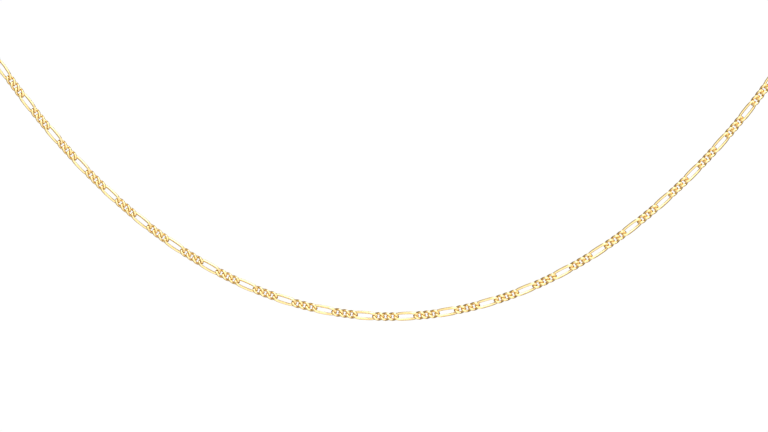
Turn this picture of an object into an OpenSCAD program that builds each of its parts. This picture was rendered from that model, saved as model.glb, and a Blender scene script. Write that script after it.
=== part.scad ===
// Figaro chain necklace of polished yellow gold wire, closed at the nape.
// Three small twisted links and one long twisted link repeat along its whole length. Each link
// is a loose closed loop, hooked through its two neighbours and clear of both.
// Millimetres. X runs across the wearer, Z is up, and -Y is the front. The origin is the middle
// of the wire's path at the nape, where the necklace rests.

/* [Necklace] */
// Closed length along the middle of the chain, clasp included
necklace_len = 563; // [550:1:568]
// Radius of the front festoon at its lowest point
front_radius = 75.67; // [74:0.5:78]
// Half width of the front festoon, which hangs in one upright plane
front_half = 88; // [86:0.5:90]
// Height of the nape above the lowest link
nape_height = 95; // [90:1:100]
// Reach of the side curve's pull where it leaves the festoon
side_pull = 55; // [50:1:60]
// Reach of the side curve's pull where it comes to the nape
nape_pull = 60; // [50:1:70]
// Straight stretch on each side of the nape, along the clasp
nape_flat = 6; // [6:0.5:9]
// Distance that the pattern is moved on along the necklace
pattern_shift = -1.35; // [-1.8:0.05:1.5]

/* [Links] */
// Small links between two long ones
smalls = 3; // [2:1:3]
// Wire that the links are bent from
wire_d = 0.57; // [0.54:0.01:0.58]
// Clearance between two hooked bows
seat_gap = 0.15; // [0.13:0.01:0.17]
// Room along the inside of a small link beyond its two neighbours' wires
small_play = 0.6; // [0.58:0.01:0.7]
// Room along the inside of a long link beyond its two neighbours' wires
long_play = 3.42; // [3.2:0.01:3.7]
// Room across the inside of a small link beyond one wire
small_side_play = 0.23; // [0.21:0.01:0.3]
// Room across the inside of a long link beyond one wire
long_side_play = 0.28; // [0.22:0.01:0.45]
// Tilt of each end bow out of the link's flat, in degrees
bow_tilt = 52; // [50:1:54]
// Slope of a small link's rails at its middle, in degrees
small_slope = 70; // [66:1:74]
// Slope of a long link's rails at its middle, in degrees
long_slope = 8; // [5:1:14]

/* [Clasp] */
// Outer diameter of the clasp's ring
clasp_od = 5.5; // [5:0.1:6]
// Thickness of the clasp's ring
clasp_wire_d = 1.1; // [0.9:0.05:1.2]
// Inner diameter of the clasp's fixed eye
eye_id = 1.3; // [1.25:0.05:1.5]
// Wire of the clasp's fixed eye
eye_wire_d = 0.5; // [0.45:0.05:0.5]
// Depth that the eye's wire is sunk into the ring
eye_sink = 0.35; // [0.25:0.05:0.4]
// Turn of the eye out of the ring's plane, in degrees
eye_turn = 50; // [45:1:60]
// Outer diameter of the plain end ring
end_ring_od = 3.3; // [3.1:0.1:3.6]
// Wire of the plain end ring
end_wire_d = 0.5; // [0.45:0.05:0.5]
// Turn of the end ring out of the clasp ring's plane, in degrees
end_ring_turn = -65; // [-70:1:-60]

/* [Hidden] */

// A link is drawn in decimetres and set in place a hundred times as large.
per_dm = 100;
wire_r = wire_d / 2 / per_dm;
// Share of the rail's arc against the bow's arc in a quarter of a link
small_share = 0.35;
long_share = 1;
small_inner = 2 * wire_d + small_play;
long_inner = 2 * wire_d + long_play;
small_half = (small_inner + wire_d) / 2 / per_dm;
long_half = (long_inner + wire_d) / 2 / per_dm;
small_rail_y = (2 * wire_d + small_side_play) / 2 / per_dm;
long_rail_y = (2 * wire_d + long_side_play) / 2 / per_dm;

// Distances along the chain between the middles of two joints
small_span = small_inner - seat_gap;
long_span = long_inner - seat_gap;
period = smalls * small_span + long_span;

// Clasp ring, its eye and the end ring, measured along the chain
clasp_r = (clasp_od - clasp_wire_d) / 2;
clasp_inner_r = clasp_od / 2 - clasp_wire_d;
eye_r = (eye_id + eye_wire_d) / 2;
eye_x = clasp_od / 2 - eye_sink + eye_id / 2 + eye_wire_d;
end_ring_r = (end_ring_od - end_wire_d) / 2;
end_ring_span = end_ring_od - 2 * end_wire_d - seat_gap;
lead_len = clasp_inner_r - seat_gap / 2;
tail_len = eye_x + eye_id / 2 - seat_gap / 2;

// The clasp's middle, and the stretch of path that the links fill
clasp_s = necklace_len / 2 + pattern_shift;
first_s = tail_len + clasp_s - necklace_len;
last_s = clasp_s - lead_len - end_ring_span;
periods = round((last_s - first_s - smalls * small_span) / period);
link_count = periods * (smalls + 1) + smalls;
stretch = (last_s - first_s) / (periods * period + smalls * small_span);

// Front festoon: a catenary from the lowest point out to front_half
function sinh(v) = (exp(v) - exp(-v)) / 2;
function asinh(v) = ln(v + sqrt(v * v + 1));
front_len = front_radius * sinh(front_half / front_radius);
front_rise = sqrt(front_radius * front_radius + front_len * front_len) - front_radius;
front_end = [front_half, 0, front_rise];
front_way = [front_radius, 0, front_len] / norm([front_radius, 0, front_len]);

// Side curve: one cubic from the end of the festoon round to the nape
curve_steps = 120;
function side_poles(depth) = [
    front_end,
    front_end + side_pull * front_way,
    [nape_flat + nape_pull, depth, nape_height],
    [nape_flat, depth, nape_height]
];
function on_cubic(p, t) =
    let (u = 1 - t)
    u * u * u * p[0] + 3 * u * u * t * p[1] + 3 * u * t * t * p[2] + t * t * t * p[3];
function cubic_way(p, t) =
    let (u = 1 - t)
    unit(u * u * (p[1] - p[0]) + 2 * u * t * (p[2] - p[1]) + t * t * (p[3] - p[2]));
function cubic_points(p) = [for (k = [0 : curve_steps]) on_cubic(p, k / curve_steps)];
function total(v, k = 0) = k == len(v) ? 0 : v[k] + total(v, k + 1);
function chords(p) = [for (k = [1 : len(p) - 1]) norm(p[k] - p[k - 1])];

// Depth from the front to the nape at which the whole loop has its stated length
side_len = necklace_len / 2 - front_len - nape_flat;
function found_depth(low, high, halvings = 30) =
    let (mid = (low + high) / 2)
    halvings < 1 ? mid
    : total(chords(cubic_points(side_poles(mid)))) > side_len
        ? found_depth(low, mid, halvings - 1)
        : found_depth(mid, high, halvings - 1);
deepest_nape = 150;
depth = found_depth(0, deepest_nape);
poles = side_poles(depth);
steps_along = chords(cubic_points(poles));
runs = [for (k = 0, s = 0; k <= curve_steps; s = s + (k < curve_steps ? steps_along[k] : 0),
    k = k + 1) [s, k / curve_steps]];

// Facing direction carried along the side curve without turning about it
ways = [for (k = [0 : curve_steps]) cubic_way(poles, k / curve_steps)];
function square_to(v, way) = unit(v - way * (v * way));
function carried(k, face) = k > curve_steps ? []
    : let (next = square_to(face, ways[k])) concat([next], carried(k + 1, next));
faces = carried(0, [0, -1, 0]);
// Turn still needed at the nape so that the links lie flat on the neck
nape_turn = atan2(
    [0, 1, 0] * cross(ways[curve_steps], faces[curve_steps]),
    [0, 1, 0] * faces[curve_steps]
);

function unit(v) = v / norm(v);
function sided(v, s) = s < 0 ? [-v.x, v.y, v.z] : v;
// Point of the path at distance s from the lowest one, right of it
function half_point(s) =
    s <= front_len
        ? [front_radius * asinh(s / front_radius), 0,
            sqrt(front_radius * front_radius + s * s) - front_radius]
        : s <= front_len + side_len ? on_cubic(poles, lookup(s - front_len, runs))
        : [necklace_len / 2 - s, depth, nape_height];
// The same for the whole loop, from the nape, with s below zero on the left
function path_point(s) = sided(half_point(abs(s)), s) - [0, depth, nape_height];
function half_face(s) =
    s <= front_len ? [0, -1, 0]
    : s >= front_len + side_len ? [0, 1, 0]
    : let (
        t = lookup(s - front_len, runs),
        k = min(floor(t * curve_steps), curve_steps - 1),
        f = t * curve_steps - k,
        way = cubic_way(poles, t),
        face = square_to(faces[k] * (1 - f) + faces[k + 1] * f, way),
        turn = nape_turn * (s - front_len) / side_len
    ) cos(turn) * face + sin(turn) * cross(way, face);
function path_face(s) = sided(half_face(abs(s)), s);

// Joint before link i, as a distance along the path
function joint_s(i) = first_s + stretch * (floor(i / (smalls + 1)) * period
    + min(i % (smalls + 1), smalls) * small_span);
function middle_s(i) = (joint_s(i) + joint_s(i + 1)) / 2;
left_count = len([for (i = [0 : link_count - 1]) if (middle_s(i) < 0) i]);

// Quarter of a link as two arcs that meet without a kink: [start, direction, end] of each
function arc_reach(v, t0, t1, share) =
    let (w = t0 + share * t1, a = w * w - (1 + share) * (1 + share), b = -2 * (v * w))
    (-b - sqrt(b * b - 4 * a * (v * v))) / (2 * a);
function quarter(half_len, rail_y, slope, share) =
    let (
        tip = [half_len, 0, 0],
        tip_way = [0, cos(bow_tilt), sin(bow_tilt)],
        rail = [0, rail_y, 0],
        rail_way = [-cos(slope), 0, -sin(slope)],
        reach = arc_reach(rail - tip, tip_way, rail_way, share),
        from = tip + reach * tip_way,
        to = rail - share * reach * rail_way,
        meet = from + (to - from) / (1 + share)
    )
    [[tip, tip_way, meet], [meet, unit(to - from), rail]];
small_quarter = quarter(small_half, small_rail_y, small_slope, small_share);
long_quarter = quarter(long_half, long_rail_y, long_slope, long_share);
link_turns = [[1, 1, 1], [-1, 1, -1], [1, -1, -1], [-1, -1, 1]];
function turned(v, s) = [v.x * s.x, v.y * s.y, v.z * s.z];

// Sets its children at c, with X along x, Y along y and Z along z
module set_at(x, y, z, c) {
    multmatrix([
        [x.x, y.x, z.x, c.x],
        [x.y, y.y, z.y, c.y],
        [x.z, y.z, z.z, c.z],
        [0, 0, 0, 1]
    ]) children();
}

// Arc of wire from p0, leaving along way, to p1
module wire_arc(p0, way, p1) {
    v = p1 - p0;
    side = square_to(v, way);
    bend_r = (v * v) / (2 * (v * side));
    set_at(-side, way, cross(way, side), p0 + bend_r * side)
        rotate_extrude(angle = 2 * atan2(v * side, v * way), $fn = 32)
            translate([bend_r, 0]) circle(wire_r, $fn = 16);
}

// Twisted loop of wire, made of one quarter turned about its three axes
module wire_loop(q) {
    for (s = link_turns, arc = q)
        wire_arc(turned(arc[0], s), turned(arc[1], s), turned(arc[2], s));
}

// Link i, stretched from the joint before it to the joint after it
module link(i) {
    a = path_point(joint_s(i));
    b = path_point(joint_s(i + 1));
    x = unit(b - a);
    z = square_to(path_face(middle_s(i)), x);
    set_at(x, cross(z, x), z, (a + b) / 2) scale(per_dm)
        wire_loop(i % (smalls + 1) == smalls ? long_quarter : small_quarter);
}

// Plain closed ring of round wire
module wire_ring(ring_r, ring_wire_d) {
    rotate_extrude($fn = 48) translate([ring_r, 0]) circle(d = ring_wire_d, $fn = 20);
}

// Sets its children on the straight stretch at s, with X along the chain and Z off the neck
module at_nape(s) {
    set_at([-1, 0, 0], [0, 0, 1], [0, 1, 0], path_point(s)) children();
}

// Left half of the chain, from the clasp's eye down to the lowest link
module chain_left() {
    color("gold") for (i = [0 : left_count - 1]) link(i);
}

// Right half of the chain, from the lowest link up to the end ring
module chain_right() {
    color("gold") for (i = [left_count : link_count - 1]) link(i);
}

// Plain ring that closes the necklace, with a small eye fixed to its side
module clasp() {
    color("goldenrod") at_nape(clasp_s) {
        wire_ring(clasp_r, clasp_wire_d);
        translate([eye_x, 0, 0]) rotate([eye_turn, 0, 0]) wire_ring(eye_r, eye_wire_d);
    }
}

// Plain ring on the last link, which the clasp's ring passes through
module end_ring() {
    color("goldenrod") at_nape(clasp_s - lead_len - end_ring_span / 2)
        rotate([end_ring_turn, 0, 0]) wire_ring(end_ring_r, end_wire_d);
}

chain_left();
chain_right();
clasp();
end_ring();
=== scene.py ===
import bpy
import math
from mathutils import Matrix, Vector


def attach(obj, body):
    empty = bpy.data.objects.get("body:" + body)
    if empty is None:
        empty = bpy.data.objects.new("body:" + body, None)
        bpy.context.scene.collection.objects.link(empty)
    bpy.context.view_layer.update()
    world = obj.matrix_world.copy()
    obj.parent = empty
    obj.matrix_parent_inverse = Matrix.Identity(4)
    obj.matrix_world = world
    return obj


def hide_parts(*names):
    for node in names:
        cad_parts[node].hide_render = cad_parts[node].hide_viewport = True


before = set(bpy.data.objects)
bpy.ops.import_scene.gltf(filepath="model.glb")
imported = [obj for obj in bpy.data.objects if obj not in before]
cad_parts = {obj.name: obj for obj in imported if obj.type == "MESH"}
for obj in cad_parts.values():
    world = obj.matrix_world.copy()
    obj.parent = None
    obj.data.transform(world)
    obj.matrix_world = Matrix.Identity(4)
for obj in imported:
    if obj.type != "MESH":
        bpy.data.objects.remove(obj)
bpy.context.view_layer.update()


# Camera.
# The front stretch is seen square on, from straight ahead. The frame is 171.5 mm wide where the
# chain hangs, and its middle lies a little left of the lowest link and above it. Metres.
FRONT_Y = -0.0993936
LOWEST_Z = -0.095
VIEW_X = -0.0015
VIEW_ABOVE_LOWEST = 0.02247
VIEW_WIDTH = 0.1715
VIEW_DISTANCE = 0.9
SENSOR_WIDTH = 36.0
NEAREST_SEEN = 0.01
view_middle = Vector((VIEW_X, FRONT_Y, LOWEST_Z + VIEW_ABOVE_LOWEST))
camera_data = bpy.data.cameras.new("camera")
camera_data.sensor_width = SENSOR_WIDTH
camera_data.lens = SENSOR_WIDTH * VIEW_DISTANCE / VIEW_WIDTH
camera_data.clip_start = NEAREST_SEEN
camera = bpy.data.objects.new("camera", camera_data)
camera.location = view_middle + Vector((0, -VIEW_DISTANCE, 0))
camera.rotation_euler = (math.radians(90), 0, 0)
bpy.context.scene.collection.objects.link(camera)
bpy.context.scene.camera = camera


# The chain, in two halves that meet at the lowest link.
# Each link is a loop of round 14 carat gold wire, soldered shut and then twisted so that it lies
# flat beside its neighbours. The finished chain is rolled and filed a little flat, front and back.
MM = 0.001
WIRE_D = 0.57
BOW_TILT = math.radians(52)
FILED_HALF = 0.62

# Lengths are in millimetres until a link is set in its place. The wire is drawn with eight sides,
# and wide enough across its corners that its section has the area of the round wire's. Steps are
# the bends drawn from one station of a link to the next.
WIRE_SIDES = 8
wire_across = WIRE_D * math.sqrt(math.tau / WIRE_SIDES / math.sin(math.tau / WIRE_SIDES))
MELT = 0.002
link_shapes = {
    "small": {"half": 1.155, "rail_y": 0.685, "slope": math.radians(70),
              "bow_pull": 0.857, "rail_pull": 0.509, "steps": 3},
    "long": {"half": 2.565, "rail_y": 0.71, "slope": math.radians(8),
             "bow_pull": 1.137, "rail_pull": 1.248, "steps": 5},
}


def bend_link(name, half, rail_y, slope, bow_pull, rail_pull, steps):
    """Bends a closed wire through the link's two tips and two rails, then files it flat."""
    bpy.ops.object.select_all(action="DESELECT")
    bpy.ops.curve.primitive_bezier_circle_add(radius=half)
    link = bpy.context.view_layer.objects.active
    link.name = name
    rise, out = math.sin(BOW_TILT), math.cos(BOW_TILT)
    fall, back = math.sin(slope), math.cos(slope)
    stations = [
        (Vector((half, 0, 0)), bow_pull * Vector((0, out, rise))),
        (Vector((0, rail_y, 0)), rail_pull * Vector((-back, 0, -fall))),
        (Vector((-half, 0, 0)), bow_pull * Vector((0, -out, rise))),
        (Vector((0, -rail_y, 0)), rail_pull * Vector((back, 0, -fall))),
    ]
    for point, (place, pull) in zip(link.data.splines[0].bezier_points, stations):
        point.handle_left_type = point.handle_right_type = "FREE"
        point.co, point.handle_left, point.handle_right = place, place - pull, place + pull
    link.data.resolution_u = steps
    link.data.bevel_depth = wire_across / 2
    link.data.bevel_resolution = WIRE_SIDES // 2 - 2
    bpy.ops.object.convert(target="MESH")
    link = bpy.context.view_layer.objects.active
    bpy.ops.object.mode_set(mode="EDIT")
    for side in (1, -1):
        bpy.ops.mesh.select_all(action="SELECT")
        bpy.ops.mesh.bisect(plane_co=(0, 0, side * FILED_HALF), plane_no=(0, 0, side),
                            use_fill=True, clear_outer=True)
    bpy.ops.mesh.select_all(action="SELECT")
    bpy.ops.mesh.remove_doubles(threshold=MELT)
    bpy.ops.mesh.normals_make_consistent(inside=False)
    bpy.ops.object.mode_set(mode="OBJECT")
    return link


links = {kind: bend_link(kind + "_link", **shape) for kind, shape in link_shapes.items()}

# The wire's path: a catenary hangs across the front, and one smooth curve each side carries it
# back to the nape, where a short straight stretch holds the clasp. Here z is from the lowest link.
NECKLACE_LEN = 563.0
FRONT_RADIUS = 75.67
FRONT_HALF = 88.0
NAPE_HEIGHT = 95.0
NAPE_DEPTH = -FRONT_Y / MM
NAPE_FLAT = 6.0
SIDE_PULL = 55.0
NAPE_PULL = 60.0
CURVE_STEPS = 120

front_len = FRONT_RADIUS * math.sinh(FRONT_HALF / FRONT_RADIUS)
front_rise = math.hypot(FRONT_RADIUS, front_len) - FRONT_RADIUS
front_end = Vector((FRONT_HALF, 0, front_rise))
side_poles = [
    front_end,
    front_end + SIDE_PULL * Vector((FRONT_RADIUS, 0, front_len)).normalized(),
    Vector((NAPE_FLAT + NAPE_PULL, NAPE_DEPTH, NAPE_HEIGHT)),
    Vector((NAPE_FLAT, NAPE_DEPTH, NAPE_HEIGHT)),
]
side_len = NECKLACE_LEN / 2 - front_len - NAPE_FLAT


def side_point(t):
    """Point of the side curve, from its front end at 0 to the nape at 1."""
    u = 1 - t
    p = side_poles
    return u * u * u * p[0] + 3 * u * u * t * p[1] + 3 * u * t * t * p[2] + t * t * t * p[3]


def side_way(t):
    """Direction in which the side curve runs there."""
    u = 1 - t
    p = side_poles
    way = u * u * (p[1] - p[0]) + 2 * u * t * (p[2] - p[1]) + t * t * (p[3] - p[2])
    return way.normalized()


def square_to(v, way):
    """The part of v that is square to way, one long."""
    return (v - way * v.dot(way)).normalized()


side_runs = [0.0]
side_faces = [Vector((0, -1, 0))]
for k in range(1, CURVE_STEPS + 1):
    chord = side_point(k / CURVE_STEPS) - side_point((k - 1) / CURVE_STEPS)
    side_runs.append(side_runs[-1] + chord.length)
    side_faces.append(square_to(side_faces[-1], side_way(k / CURVE_STEPS)))
nape_turn = math.atan2(side_way(1).cross(side_faces[-1]).y, side_faces[-1].y)


def side_share(run):
    """Share of the side curve at which the stated length of it is passed."""
    for k in range(CURVE_STEPS):
        if run <= side_runs[k + 1]:
            return (k + (run - side_runs[k]) / (side_runs[k + 1] - side_runs[k])) / CURVE_STEPS
    return 1.0


def path_point(s):
    """Point of the path, from the nape, at s from the lowest link, negative on the left."""
    run = abs(s)
    if run <= front_len:
        point = Vector((FRONT_RADIUS * math.asinh(run / FRONT_RADIUS), 0,
                        math.hypot(FRONT_RADIUS, run) - FRONT_RADIUS))
    elif run <= front_len + side_len:
        point = side_point(side_share(run - front_len))
    else:
        point = Vector((NECKLACE_LEN / 2 - run, NAPE_DEPTH, NAPE_HEIGHT))
    if s < 0:
        point.x = -point.x
    return point - Vector((0, NAPE_DEPTH, NAPE_HEIGHT))


def path_face(s):
    """Direction that the links' flat faces look, away from the wearer."""
    run = abs(s)
    if run <= front_len:
        face = Vector((0, -1, 0))
    elif run >= front_len + side_len:
        face = Vector((0, 1, 0))
    else:
        t = side_share(run - front_len)
        k = min(int(t * CURVE_STEPS), CURVE_STEPS - 1)
        part = t * CURVE_STEPS - k
        way = side_way(t)
        face = square_to(side_faces[k] * (1 - part) + side_faces[k + 1] * part, way)
        turn = nape_turn * (run - front_len) / side_len
        face = math.cos(turn) * face + math.sin(turn) * way.cross(face)
    if s < 0:
        face.x = -face.x
    return face


# Three small links and one long link, over and over, from the clasp's eye round to the end ring.
SMALLS = 3
FIRST_S, LAST_S = -278.725, 276.425
span = {"small": 1.59, "long": 4.41}
period = SMALLS * span["small"] + span["long"]
periods = round((LAST_S - FIRST_S - SMALLS * span["small"]) / period)
stretch = (LAST_S - FIRST_S) / (periods * period + SMALLS * span["small"])
halves = {"left": [], "right": []}
joint = FIRST_S
for i in range(periods * (SMALLS + 1) + SMALLS):
    kind = "long" if i % (SMALLS + 1) == SMALLS else "small"
    next_joint = joint + stretch * span[kind]
    start, end = path_point(joint), path_point(next_joint)
    along = (end - start).normalized()
    out = square_to(path_face((joint + next_joint) / 2), along)
    turn = Matrix((along, out.cross(along), out)).transposed().to_4x4()
    link = bpy.data.objects.new("link", links[kind].data.copy())
    bpy.context.scene.collection.objects.link(link)
    link.data.transform(Matrix.Scale(MM, 4) @ Matrix.Translation((start + end) / 2) @ turn)
    halves["left" if joint + next_joint < 0 else "right"].append(link)
    joint = next_joint
for link in links.values():
    bpy.data.objects.remove(link)


def linear(hex_colour):
    """sRGB hex to linear RGBA."""
    parts = [int(hex_colour[k:k + 2], 16) / 255 for k in (1, 3, 5)]
    return [c / 12.92 if c <= 0.04045 else ((c + 0.055) / 1.055) ** 2.4 for c in parts] + [1.0]


def add_node(owner, kind, settings=None, feeds=None):
    """Adds a node with its settings, and feeds its inputs from other nodes' outputs."""
    node = owner.node_tree.nodes.new(kind)
    for key, value in (settings or {}).items():
        if isinstance(key, int) or key in node.inputs:
            node.inputs[key].default_value = value
        else:
            setattr(node, key, value)
    for key, output in (feeds or {}).items():
        owner.node_tree.links.new(output, node.inputs[key])
    return node


# 14 carat yellow gold, polished on a felt wheel: it mirrors the room with a warm tint. The alloy's
# tone drifts a little over a link or two, and the wheel's marks soften its glints. Real marks are
# about 0.02 mm apart. They are drawn 0.12 mm apart, which is as fine as a close view can show.
ALLOY_DRIFT = 2.5 * MM
WHEEL_MARK = 0.12 * MM
WHEEL_MARK_DEPTH = 0.01 * MM
WHEEL_MARK_SHARE = 0.05
GLOSSIEST, DULLEST = 0.7, 1.4


def polished_gold(name, pale, deep, roughness):
    """Gold whose tone drifts from pale to deep, with wheel marks in its roughness and relief."""
    gold = bpy.data.materials.new(name)
    gold.use_nodes = True
    gold.node_tree.nodes.clear()
    place = add_node(gold, "ShaderNodeTexCoord").outputs["Object"]
    drift = add_node(gold, "ShaderNodeTexNoise", {"Scale": 1 / ALLOY_DRIFT, "Detail": 2.0},
                     {"Vector": place})
    tone = add_node(gold, "ShaderNodeMix", {"data_type": "RGBA", 6: linear(pale), 7: linear(deep)},
                    {0: drift.outputs["Fac"]})
    marks = add_node(gold, "ShaderNodeTexNoise", {"Scale": 1 / WHEEL_MARK, "Detail": 3.0},
                     {"Vector": place})
    gloss = add_node(gold, "ShaderNodeMapRange",
                     {"To Min": roughness * GLOSSIEST, "To Max": roughness * DULLEST},
                     {"Value": marks.outputs["Fac"]})
    relief = add_node(gold, "ShaderNodeBump",
                      {"Strength": WHEEL_MARK_SHARE, "Distance": WHEEL_MARK_DEPTH},
                      {"Height": marks.outputs["Fac"]})
    shader = add_node(gold, "ShaderNodeBsdfPrincipled", {"Metallic": 1.0},
                      {"Base Color": tone.outputs[2], "Roughness": gloss.outputs["Result"],
                       "Normal": relief.outputs["Normal"]})
    add_node(gold, "ShaderNodeOutputMaterial", {}, {"Surface": shader.outputs["BSDF"]})
    return gold


ROUND_UNDER = math.radians(60)
link_gold = polished_gold("felt_polished_14_carat_gold", "#F5E1AC", "#EECE88", 0.18)
for side, pieces in halves.items():
    bpy.ops.object.select_all(action="DESELECT")
    for link in pieces:
        link.select_set(True)
    bpy.context.view_layer.objects.active = pieces[0]
    bpy.ops.object.join()
    half = bpy.context.view_layer.objects.active
    half.name = half.data.name = "links_" + side
    bpy.ops.object.shade_smooth_by_angle(angle=ROUND_UNDER)
    half.data.materials.clear()
    half.data.materials.append(link_gold)
    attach(half, "root")
    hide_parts("chain_" + side)


# Clasp and end ring.
# The clasp is a plain cast ring with its eye soldered on, and the end ring is bent from wire.
# Both are of the same gold, tumbled bright, a touch duller than the chain's polished links.
clasp_gold = polished_gold("tumbled_14_carat_gold", "#F2DA9E", "#E8C67E", 0.22)
for name in ("clasp", "end_ring"):
    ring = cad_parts[name]
    ring.data.materials.clear()
    ring.data.materials.append(clasp_gold)


# Floor.
# A sheet of matt white paper lies below the hanging necklace. It is kept out of the gold's
# reflections and lets the tent's light pass, so that the tent alone shapes the wire.
FLOOR_Z, FLOOR_SIZE = -0.3, 4.4
PAPER_FIBRE = 2 * MM
paper = bpy.data.materials.new("matt_white_paper")
paper.use_nodes = True
paper.node_tree.nodes.clear()
fibres = add_node(paper, "ShaderNodeTexNoise", {"Scale": 1 / PAPER_FIBRE, "Detail": 2.0},
                  {"Vector": add_node(paper, "ShaderNodeTexCoord").outputs["Object"]})
sheet_tone = add_node(paper, "ShaderNodeMix",
                      {"data_type": "RGBA", 6: linear("#F8F8F8"), 7: linear("#F6F6F5")},
                      {0: fibres.outputs["Fac"]})
sheet_shader = add_node(paper, "ShaderNodeBsdfPrincipled",
                        {"Roughness": 0.9, "Specular IOR Level": 0.1},
                        {"Base Color": sheet_tone.outputs[2]})
add_node(paper, "ShaderNodeOutputMaterial", {}, {"Surface": sheet_shader.outputs["BSDF"]})

bpy.ops.object.select_all(action="DESELECT")
bpy.ops.mesh.primitive_plane_add(size=FLOOR_SIZE, location=(0, 0, FLOOR_Z))
floor = bpy.context.view_layer.objects.active
floor.name = "floor"
bpy.ops.object.transform_apply(location=True, rotation=True, scale=True)
floor.data.materials.append(paper)
floor.visible_glossy = False
floor.visible_shadow = False


# Light.
# The necklace hangs in a tent of white cloth, bright in front and dimming to both sides. Past the
# sides the cloth is dim and warm, which draws a brown edge round each bright wire. Straight behind
# it is white again. Two soft boxes add a glint from above and from the right.
FRONT_CLOTH = [1.7, 1.7, 1.7, 1.0]
WARM_CLOTH = [0.48, 0.34, 0.18, 1.0]
WHITE_CLOTH = [1.02, 1.02, 1.02, 1.0]
WARM_FROM_Y, WARM_TO_Y = -0.35, 0.3
WHITE_FROM_Y, WHITE_TO_Y = 0.8, 0.92
DIM_FROM_X, DIM_TO_X = 0.1, 0.75
SIDE_SHARE = 0.38


def softbox(name, place, size, power):
    """A rectangular lamp that faces the middle of the view."""
    light = bpy.data.lights.new(name, "AREA")
    light.shape = "RECTANGLE"
    light.size, light.size_y = size
    light.energy = power
    lamp = bpy.data.objects.new(name, light)
    lamp.location = place
    lamp.rotation_euler = (view_middle - Vector(place)).to_track_quat("-Z", "Y").to_euler()
    bpy.context.scene.collection.objects.link(lamp)


softbox("softbox_top", (0.2, -0.6, 1.3), (1.2, 0.9), 12)
softbox("softbox_right", (1.5, -0.9, 0.5), (0.8, 1.0), 6)

tent = bpy.data.worlds.new("light_tent")
tent.use_nodes = True
tent.node_tree.nodes.clear()
way = add_node(tent, "ShaderNodeSeparateXYZ", {},
               {"Vector": add_node(tent, "ShaderNodeTexCoord").outputs["Generated"]})
past_sides = add_node(tent, "ShaderNodeMapRange",
                      {"From Min": WARM_FROM_Y, "From Max": WARM_TO_Y},
                      {"Value": way.outputs["Y"]})
straight_behind = add_node(tent, "ShaderNodeMapRange",
                           {"From Min": WHITE_FROM_Y, "From Max": WHITE_TO_Y},
                           {"Value": way.outputs["Y"]})
shell = add_node(tent, "ShaderNodeMix", {"data_type": "RGBA", 6: FRONT_CLOTH, 7: WARM_CLOTH},
                 {0: past_sides.outputs["Result"]})
cloth = add_node(tent, "ShaderNodeMix", {"data_type": "RGBA", 7: WHITE_CLOTH},
                 {0: straight_behind.outputs["Result"], 6: shell.outputs[2]})
aside = add_node(tent, "ShaderNodeMath", {"operation": "ABSOLUTE"}, {0: way.outputs["X"]})
dimming = add_node(tent, "ShaderNodeMapRange",
                   {"From Min": DIM_FROM_X, "From Max": DIM_TO_X,
                    "To Min": 1.0, "To Max": SIDE_SHARE},
                   {"Value": aside.outputs["Value"]})
glow = add_node(tent, "ShaderNodeBackground", {},
                {"Color": cloth.outputs[2], "Strength": dimming.outputs["Result"]})
# Past the necklace the camera sees the plain white cloth, from every side.
seen = add_node(tent, "ShaderNodeBackground", {"Color": WHITE_CLOTH})
sight = add_node(tent, "ShaderNodeLightPath").outputs["Is Camera Ray"]
either = add_node(tent, "ShaderNodeMixShader", {},
                  {0: sight, 1: glow.outputs["Background"], 2: seen.outputs["Background"]})
add_node(tent, "ShaderNodeOutputWorld", {}, {"Surface": either.outputs["Shader"]})
bpy.context.scene.world = tent
bpy.context.scene.view_settings.view_transform = "Standard"
